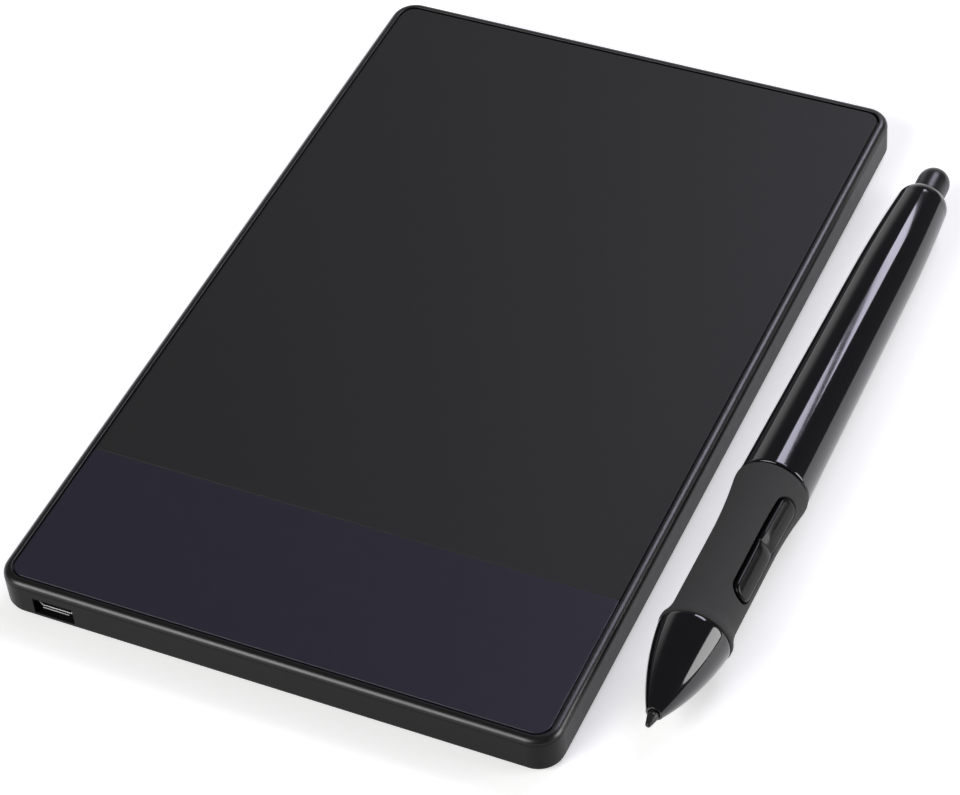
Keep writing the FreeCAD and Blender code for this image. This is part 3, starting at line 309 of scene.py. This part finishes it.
def make_finishes():
    """One finish for each material slot of the record."""
    return {
        "case_top": surface("case_top", (0.0035, 0.0035, 0.0036), 0.33, variation=0.05,
                            grain_depth=0.0006, spread=0.02),
        "case_bottom": surface("case_bottom", (0.006, 0.006, 0.0062), 0.45, variation=0.06,
                               grain=0.35, grain_depth=0.012, specular_ior_level=0.2),
        "face_satin": surface("face_satin", (0.0115, 0.0115, 0.0112), 0.5, variation=0.03,
                              mottle=3, grain=0.1, grain_depth=0.0025, spread=0.01,
                              specular_ior_level=0.4),
        # face_gloss: the sheet's own dark colour with a blue tint added to it, a painted reflection
        # of the lavender window lights
        "face_gloss": surface("face_gloss", (0.0205, 0.019, 0.032), 0.3, variation=0.03,
                              mottle=3, grain=0.1, grain_depth=0.0008, spread=0.01,
                              specular_ior_level=0.55),
        "film": surface("film", (0.72, 0.71, 0.66), 0.4),
        "foot_rubber": surface("foot_rubber", (0.018, 0.018, 0.018), 0.75, grain=0.2,
                               grain_depth=0.01),
        "screw_steel": surface("screw_steel", (0.4, 0.4, 0.42), 0.32, metallic=1.0),
        "circuit_board": surface("circuit_board", (0.012, 0.11, 0.045), 0.35),
        "shield": surface("shield", (0.62, 0.63, 0.64), 0.35, metallic=1.0),
        "foam": surface("foam", (0.03, 0.03, 0.032), 0.95, grain=0.3, grain_depth=0.05),
        "chip_plastic": surface("chip_plastic", (0.015, 0.015, 0.016), 0.55, grain_depth=0.005),
        "can_metal": surface("can_metal", (0.62, 0.62, 0.63), 0.25, metallic=1.0),
        "socket_metal": surface("socket_metal", (0.5, 0.5, 0.51), 0.28, metallic=1.0),
        "socket_plastic": surface("socket_plastic", (0.012, 0.012, 0.012), 0.5),
        "contact_metal": surface("contact_metal", (0.8, 0.55, 0.2), 0.25, metallic=1.0),
        "nib_plastic": surface("nib_plastic", (0.011, 0.011, 0.011), 0.35, variation=0.06),
        "holder_plastic": surface("holder_plastic", (0.65, 0.65, 0.62), 0.45),
        "ferrite": surface("ferrite", (0.03, 0.03, 0.033), 0.45),
        "copper": surface("copper", (0.6, 0.22, 0.08), 0.3, metallic=1.0),
        "sensor_plastic": surface("sensor_plastic", (0.45, 0.3, 0.08), 0.4),
        "pen_gloss": surface("pen_gloss", (0.005, 0.005, 0.0065), 0.09, variation=0.05,
                             spread=0.01, grain_depth=0.0002, coat_weight=0.3,
                             coat_roughness=0.03),
        "carrier_plastic": surface("carrier_plastic", (0.03, 0.03, 0.031), 0.45),
        "grip_rubber": surface("grip_rubber", (0.045, 0.045, 0.045), 0.88, variation=0.03,
                               mottle=1.5, grain=0.14, grain_depth=0.006, spread=0.02,
                               specular_ior_level=0.3),
        "switch_gloss": surface("switch_gloss", (0.004, 0.004, 0.0042), 0.18, variation=0.05,
                                spread=0.02, grain_depth=0.0004, specular_ior_level=0.2),
        "seal_rubber": surface("seal_rubber", (0.012, 0.012, 0.012), 0.35),
        "cell_jacket": surface("cell_jacket", (0.42, 0.43, 0.45), 0.34, variation=0.03, mottle=12,
                               grain_depth=0, spread=0.02, metallic=1.0),
        "spring_steel": surface("spring_steel", (0.55, 0.55, 0.56), 0.25, grain_depth=0.0005,
                                metallic=1.0),
        "knob_gloss": surface("knob_gloss", (0.008, 0.008, 0.009), 0.3, variation=0.05,
                              spread=0.02, grain_depth=0.0006),
    }


finishes = make_finishes()
polish_shoulder(finishes["case_top"], SHOULDER_START, SHOULDER_END, WALL_SPECULAR,
                SHOULDER_SPECULAR)
for node in frame["nodes"].values():
    for holder in node.material_slots:
        holder.material = finishes[holder.material.name.split(".")[0]]


def dress(piece, body, slot, node):
    """Put a piece on its body, in its material slot, in place of the CAD node it stands for."""
    piece.data.materials.append(finishes[slot])
    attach(piece, body)
    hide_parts(node)


# ---------------------------------------------------------------- pen, turned pieces
def make_nose_cone():
    """Slender cone with a small round lip where the nib comes out and a thin chamfer behind."""
    front, back = pen_span("nose_cone")
    bore, tip_radius, base_radius, spigot, spigot_front = 1.08, 1.6, 6.85, 5.05, 17.0
    cavity, cavity_front = 3.4, 12.5
    lip, bore_chamfer, belly, rows = 0.12, 0.1, 0.79, 28
    # the rear edge's points, as distances in from the base's radius and short of the end
    edge_start, rear_edge = 0.25, [(0.03, 0.12), (0.12, 0.02), (0.2, 0)]
    skin = between((tip_radius, front + lip), (base_radius, back - edge_start), rows, belly)
    profile = (arc((tip_radius - lip, front + lip), lip, -90, 0, 3)[:-1] + skin
               + [(base_radius - inward, back - short) for inward, short in rear_edge]
               + [(spigot, back), (spigot, spigot_front), (cavity, spigot_front),
                  (cavity, cavity_front), (bore, 2 * front), (bore, front + bore_chamfer),
                  (bore + bore_chamfer, front)])
    return piece_from("cone", lathe(profile), PEN)


def make_nib():
    """Thin rod with a round writing end."""
    end = pen_span("nib")[1]
    radius, taper, taper_round = 1.0, 2.2, 0.6
    dome, dome_edge = 0.58, (0.5, 0.3)
    profile = ([(0, 0)] + arc((0, dome), dome, -75, -30, 5)
               + softened([dome_edge, (radius, taper), (radius, end), (0, end)],
                          {1: taper_round})[1:])
    return piece_from("nib_rod", lathe(profile, segments=40), PEN)


def make_barrel():
    """Long glossy barrel: slow taper, rounded shoulder, and a bright chamfer at its mouth."""
    front, back = pen_span("rear_barrel")
    mouth, bore, core, stem, stem_depth = 6.2, 5.55, 3.2, 1.6, 4.0
    mouth_end, bore_end, mouth_chamfer = 72.2, 119.7, 0.1
    groove_depth, groove_half_turn = 0.35, math.radians(12)
    # the skin's main points, each a radius and a place along the pen
    lip = [(6.5, front), (6.72, front + 0.08), (6.84, front + 0.2), (6.9, front + 0.35)]
    taper_start, taper_end = (6.897, front + 0.6), (6.25, 117.5)
    shoulder, rim = (5.25, back - 3.3), (3.6, back)
    taper_rows, tail_rows, rim_rows = 20, 24, 10
    tail_bulge, rim_bulge = 0.18, 0.48
    skin = lip + [tuple(Vector(taper_start).lerp(Vector(taper_end), row / taper_rows))
                  for row in range(taper_rows)]
    skin += between(taper_end, shoulder, tail_rows, tail_bulge)
    skin += between(shoulder, rim, rim_rows, rim_bulge)[1:]
    profile = ([(mouth + mouth_chamfer, front)] + skin
               + [(stem, back), (stem, back - stem_depth), (core, back - stem_depth),
                  (core, bore_end), (bore, bore_end), (bore, mouth_end), (mouth, mouth_end),
                  (mouth, front + mouth_chamfer)])

    def with_groove(radius, turn):
        in_groove = abs(math.remainder(turn - math.pi, 2 * math.pi)) < groove_half_turn
        return radius + groove_depth if radius == bore and in_groove else radius

    return piece_from("barrel", lathe(profile, reshape=with_groove), PEN)


def make_knob():
    """Domed knob at the tail."""
    stem_front, back = pen_span("tail_knob")
    radius, stem, gap, edge = 3.3, 1.55, 0.1, 0.4
    front, dome = pen_span("rear_barrel")[1] + gap, back - 3.8
    flat, dome_rows, dome_bulge = 0.5, 16, 0.9
    crown = between((radius, dome), (flat, back), dome_rows, dome_bulge)
    profile = ([(0, stem_front), (stem, stem_front), (stem, front)]
               + softened([(stem, front), (radius, front), (radius, dome)], {1: edge})[1:-1]
               + crown + [(0, back)])
    return piece_from("knob", lathe(profile, segments=72), PEN)


# ---------------------------------------------------------------- pen, grip and rocker
GRIP_BORE, GRIP_WAIST, GRIP_RIM, GRIP_FLARE = 5.05, 6.13, 7.02, 7.1
# the straight lip at each end of the grip, and the sweep from it down to the waist
GRIP_LIP, GRIP_LIP_SWEEP = 0.95, 4.1
GRIP_END, GRIP_FLARE_SWEEP = 1.3, 14.1
SWITCH_HALF_WIDTH = 2.1
SLOT_MARGIN = 0.45


def hollow(rise, run, along):
    """Height, at a distance along, of a hollow arc that starts level and gains rise over run."""
    radius = (run * run + rise * rise) / (2 * rise)
    return radius - math.sqrt(radius * radius - min(max(along, 0), run) ** 2)


def grip_radius(distance, front, back):
    """Radius of the grip's skin between its two flares."""
    lip_end, flare_end = front + GRIP_LIP, back - GRIP_END
    lip = hollow(GRIP_RIM - GRIP_WAIST, GRIP_LIP_SWEEP, lip_end + GRIP_LIP_SWEEP - distance)
    flare = hollow(GRIP_FLARE - GRIP_WAIST, GRIP_FLARE_SWEEP,
                   distance - flare_end + GRIP_FLARE_SWEEP)
    return GRIP_WAIST + lip + flare


def make_grip():
    """Soft sleeve with a round-ended slot for the rocker, its rim softly rounded."""
    front, back = pen_span("grip_sleeve")
    slot_front, slot_back = pen_span("side_switch")
    slot_front, slot_back = slot_front - SLOT_MARGIN, slot_back + SLOT_MARGIN
    slot_half, slot_corner = SWITCH_HALF_WIDTH + SLOT_MARGIN, 2.45
    slot_round, patch_margin, first_ring = 0.3, 1.0, 0.55
    rows, round_front, round_back = 44, 0.4, 0.45
    lip_end, flare_end = front + GRIP_LIP, back - GRIP_END
    stations = [lip_end + (flare_end - lip_end) * row / rows for row in range(rows + 1)]
    skin = (arc((GRIP_RIM - round_front, front + round_front), round_front, -90, 0, 5)
            + [(grip_radius(station, front, back), station) for station in stations]
            + arc((GRIP_FLARE - round_back, back - round_back), round_back, 0, 90, 5))
    profile = skin + [(GRIP_BORE, distance) for radius, distance in reversed(skin)]
    vertices, faces = lathe(profile, SEGMENTS)

    # the grid round the slot is taken out, on the skin and in the bore, and filled with rings
    total = len(profile)
    first = max(row for row, point in enumerate(skin) if point[1] < slot_front - patch_margin)
    last = min(row for row, point in enumerate(skin) if point[1] > slot_back + patch_margin)
    half_span = 9
    ring = [(column, first) for column in range(-half_span, half_span)]
    ring += [(half_span, row) for row in range(first, last)]
    ring += [(column, last) for column in range(half_span, -half_span, -1)]
    ring += [(-half_span, row) for row in range(last, first, -1)]

    def in_patch(face):
        columns = [(corner // total + SEGMENTS // 2) % SEGMENTS - SEGMENTS // 2 for corner in face]
        levels = [corner % total for corner in face]
        levels = [min(level, total - 1 - level) for level in levels]
        return (max(map(abs, columns)) <= half_span and min(levels) >= first
                and max(levels) <= last)

    faces = [face for face in faces if not in_patch(face)]

    def slot_point(column, row, out):
        """Point of the slot's outline nearest to a point of the ring, moved out of the slot."""
        turn = 2 * math.pi * column / SEGMENTS
        here = Vector((skin[row][0] * math.sin(turn), skin[row][1]))
        inner = slot_half - slot_corner
        spine = Vector((min(max(here.x, -inner), inner),
                        min(max(here.y, slot_front + slot_corner), slot_back - slot_corner)))
        return spine + (here - spine).normalized() * (slot_corner + out)

    def ring_level(out, sink):
        points = [slot_point(column, row, out) for column, row in ring]
        return [(math.sqrt(grip_radius(a, front, back) ** 2 - y * y) - sink, y, a)
                for y, a in points]

    levels = [ring_level(first_ring, 0)]
    for turn in range(0, 91, 18):
        angle = math.radians(turn)
        levels.append(ring_level(slot_round * (1 - math.sin(angle)),
                                 slot_round * (1 - math.cos(angle))))
    levels.append([(math.sqrt(GRIP_BORE ** 2 - y * y), y, a) for x, y, a in levels[-1]])
    start = len(vertices)
    count = len(ring)
    outside = [column % SEGMENTS * total + row for column, row in ring]
    inside = [column % SEGMENTS * total + total - 1 - row for column, row in ring]
    loops = [outside] + [list(range(start + level * count, start + (level + 1) * count))
                         for level in range(len(levels))] + [inside]
    vertices += [point for level in levels for point in level]
    for upper, lower in zip(loops, loops[1:]):
        for point in range(count):
            after = (point + 1) % count
            faces.append((upper[point], upper[after], lower[after], lower[point]))
    return piece_from("grip", (vertices, faces), PEN, sharp_angle=50)


def make_rocker():
    """Rocker with a crowned top, a V-shaped dip at its pivot, two plungers and a lug below."""
    front, back = pen_span("side_switch")
    floor, foot, lug_foot, round_end = 4.35, 2.85, 2.1, 1.8
    front_pad, rear_start, rear_pad, dip, dip_reach = 6.5, 6.48, 6.9, 0.3, 2.2
    crown, edge, crown_insets, floor_edge = 0.3, 0.4, (0.7, 1.1, 1.5, 1.75), 0.1
    plunger_reach, plunger_half, plunger_half_width = 8.6, 0.8, 1.6
    lug_half, lug_half_width, stub_edge, stub_corner = 1.1, 2.0, 0.15, 0.3
    stations = [SWITCH_PIVOT + offset for offset in
                [-10, -8, -6, -4.5, -3, -2.2, -1.5, -1, -0.6, -0.3, 0,
                 0.3, 0.6, 1, 1.5, 2.2, 3, 4.5, 6, 7.5, 9]]

    def top(y, a):
        beyond = max(a - SWITCH_PIVOT, 0) / (back - SWITCH_PIVOT)
        level = front_pad if a < SWITCH_PIVOT else rear_start + (rear_pad - rear_start) * beyond
        near = max(0, 1 - abs(a - SWITCH_PIVOT) / dip_reach)
        return level - dip * near ** 2 - crown * (y / SWITCH_HALF_WIDTH) ** 2

    def ring(inset, height):
        outline = strip_outline(SWITCH_HALF_WIDTH, front, back, (round_end, round_end), inset,
                                stations)
        return [(height(y, a), y, a) for y, a in outline]

    rings = [ring(floor_edge, lambda y, a: floor), ring(0, lambda y, a: floor + floor_edge),
             ring(0, lambda y, a: top(y, a) - edge)]
    for turn in (22, 45, 67, 90):
        angle = math.radians(turn)
        drop = edge * (1 - math.sin(angle))
        rings.append(ring(edge * (1 - math.cos(angle)), lambda y, a, d=drop: top(y, a) - d))
    rings += [ring(inset, top) for inset in crown_insets]

    def stub(middle_place, half_length, half_width, low):
        outlines = [(stub_edge, low), (0, low + stub_edge), (0, floor + stub_edge)]
        ends, corners = (middle_place - half_length, middle_place + half_length), (stub_corner,) * 2
        return stack([[(height, y, a)
                       for y, a in strip_outline(half_width, *ends, corners, inset)]
                      for inset, height in outlines])

    stubs = [stub(SWITCH_PIVOT + side * plunger_reach, plunger_half, plunger_half_width, foot)
             for side in (-1, 1)]
    stubs.append(stub(SWITCH_PIVOT, lug_half, lug_half_width, lug_foot))
    return piece_from("rocker", together(stack(rings), *stubs), PEN)


dress(make_nose_cone(), "pen_front", "pen_gloss", "nose_cone")
dress(make_nib(), "nib", "nib_plastic", "nib")
dress(make_grip(), "pen_front", "grip_rubber", "grip_sleeve")
dress(make_rocker(), "side_switch", "switch_gloss", "side_switch")
dress(make_barrel(), "pen_barrel", "pen_gloss", "rear_barrel")
dress(make_knob(), "pen_barrel", "knob_gloss", "tail_knob")


# ---------------------------------------------------------------- tablet, face and feet
FACE_ROUND = 0.12
# radii of a face sheet's corners, where the two sheets meet and at the face's outer corners
JOINT_CORNER, OUTER_CORNER = 0.15, 2.85


def make_face_sheet(node, radii):
    """One sheet of the drawing face, with a softly rounded top edge."""
    across, along = span(node, TABLET, 0), span(node, TABLET, 1)
    low, high = span(node, TABLET, 2)
    levels = [(0, low)] + [(FACE_ROUND * (1 - math.cos(math.radians(turn))),
                            high - FACE_ROUND * (1 - math.sin(math.radians(turn))))
                           for turn in (0, 30, 60, 90)]
    rings = [[(x, y, height) for x, y in strip_outline(across[1], *along, radii, inset)]
             for inset, height in levels]
    return piece_from(node + "_sheet", stack(rings), TABLET)


def make_feet():
    """Four round rubber feet with a rounded edge and a shallow dish underneath."""
    high = span("rubber_feet", TABLET, 2)[1]
    corner = span("rubber_feet", TABLET, 0)[1], span("rubber_feet", TABLET, 1)[1]
    radius, edge, dish, dish_floor, dish_rim = 5.0, 0.2, 0.12, 0.55, 0.62
    profile = ([(0, dish), (radius * dish_floor, dish), (radius * dish_rim, 0)]
               + arc((radius - edge, edge), edge, -90, 0, 4) + [(radius, high), (0, high)])
    reach = [distance - radius for distance in corner]
    discs = [lathe(profile, segments=48, centre=(side_x * reach[0], side_y * reach[1]))
             for side_x in (-1, 1) for side_y in (-1, 1)]
    return piece_from("feet", together(*discs), TABLET)


dress(make_face_sheet("work_surface", (JOINT_CORNER, OUTER_CORNER)), "tablet", "face_satin",
      "work_surface")
dress(make_face_sheet("front_panel", (OUTER_CORNER, JOINT_CORNER)), "tablet", "face_gloss",
      "front_panel")
dress(make_feet(), "tablet", "foot_rubber", "rubber_feet")


# ---------------------------------------------------------------- stage, lights and camera
def make_floor():
    """Plain white table top that glows a little, like a light table."""
    half = 2500 * MM
    mesh = bpy.data.meshes.new("floor")
    corners = [(-half, -half, 0), (half, -half, 0), (half, half, 0), (-half, half, 0)]
    mesh.from_pydata(corners, [], [(0, 1, 2, 3)])
    floor = bpy.data.objects.new("floor", mesh)
    bpy.context.scene.collection.objects.link(floor)
    mesh.materials.append(surface("table_top", (0.9, 0.9, 0.89), 0.6, variation=0.01, mottle=60,
                                  grain_depth=0, emission_color=(1, 1, 1, 1),
                                  emission_strength=0.45))


def look_from(direction, distance, target=(0, 0, 0)):
    """Matrix of something that looks at a target from a direction, its own -Z forwards."""
    back = Vector(direction).normalized()
    place = Vector(target) + back * distance
    return Matrix.Translation(place) @ back.to_track_quat("Z", "Y").to_matrix().to_4x4()


def soft_box(name, direction, distance, size, radiance, colour=(1, 1, 1), shape="RECTANGLE"):
    """Studio light aimed at the object, as bright as its radiance."""
    light = bpy.data.lights.new(name, "AREA")
    light.shape = shape
    light.size, light.size_y = size
    filled = math.pi / 4 if shape == "ELLIPSE" else 1
    light.energy = radiance * math.pi * size[0] * size[1] * filled
    light.color = colour
    lamp = bpy.data.objects.new(name, light)
    lamp.matrix_world = look_from(direction, distance)
    bpy.context.scene.collection.objects.link(lamp)


def toward(azimuth, elevation):
    """Direction from the object, azimuth in degrees from +Y towards +X."""
    turn, rise = math.radians(azimuth), math.radians(elevation)
    return math.sin(turn) * math.cos(rise), math.cos(turn) * math.cos(rise), math.sin(rise)


def make_lights():
    """Two strips of one large window behind the tablet, and a soft box at the right and in front."""
    window = (0.84, 0.82, 1.0)
    soft_box("window_low", toward(9, 40.3), 1.6, (0.52, 0.21), 9, window)
    soft_box("window_high", toward(13, 51.1), 1.6, (0.8, 0.27), 8, window)
    soft_box("right_box", toward(73, 19), 1.5, (0.95, 0.85), 6, shape="ELLIPSE")
    soft_box("front_box", toward(208, 35), 1.8, (1.0, 1.0), 6.3)


def make_room():
    """White sweep low behind the table on the left, in a dim room."""
    dim, bright = 0.1, 0.7
    world = bpy.data.worlds.new("room")
    world.use_nodes = True
    bpy.context.scene.world = world
    nodes, links = world.node_tree.nodes, world.node_tree.links
    ways = nodes.new("ShaderNodeSeparateXYZ")
    links.new(nodes.new("ShaderNodeTexCoord").outputs["Generated"], ways.inputs["Vector"])

    def step(socket, start, end):
        ramp = graded(world.node_tree, ways.outputs[socket], start, end)
        ramp.interpolation_type = "SMOOTHSTEP"
        return ramp.outputs["Result"]

    def product(first, second):
        times = nodes.new("ShaderNodeMath")
        times.operation = "MULTIPLY"
        links.new(first, times.inputs[0])
        links.new(second, times.inputs[1])
        return times.outputs["Value"]

    sweep = product(product(step("Y", 0.1, 0.5), step("Z", 0.5, 0.2)), step("X", 0.35, 0.1))
    shade = graded(world.node_tree, sweep, 0, 1, dim, bright)
    links.new(shade.outputs["Result"], nodes["Background"].inputs["Color"])


def make_camera():
    """Camera above the pen's end of the front edge, looking back over the tablet."""
    azimuth, elevation, roll = (math.radians(turn) for turn in (28.51, 45.50, -5.96))
    distance, target = 0.6304, Vector((-4.785, -8.16, 0)) * MM
    focal_length, film_width, near, far = 123.45, 36, 0.05, 20
    back = Vector((math.sin(azimuth) * math.cos(elevation),
                   -math.cos(azimuth) * math.cos(elevation), math.sin(elevation)))
    right = Vector((0, 0, 1)).cross(back).normalized()
    up = back.cross(right)
    tilted_right = right * math.cos(roll) + up * math.sin(roll)
    tilted_up = up * math.cos(roll) - right * math.sin(roll)
    data = bpy.data.cameras.new("camera")
    data.lens, data.sensor_width = focal_length, film_width
    data.clip_start, data.clip_end = near, far
    camera = bpy.data.objects.new("camera", data)
    turn = Matrix((tilted_right, tilted_up, back)).transposed().to_4x4()
    camera.matrix_world = Matrix.Translation(target + back * distance) @ turn
    bpy.context.scene.collection.objects.link(camera)
    bpy.context.scene.camera = camera


make_floor()
make_lights()
make_room()
make_camera()
bpy.context.scene.view_settings.view_transform = "Standard"
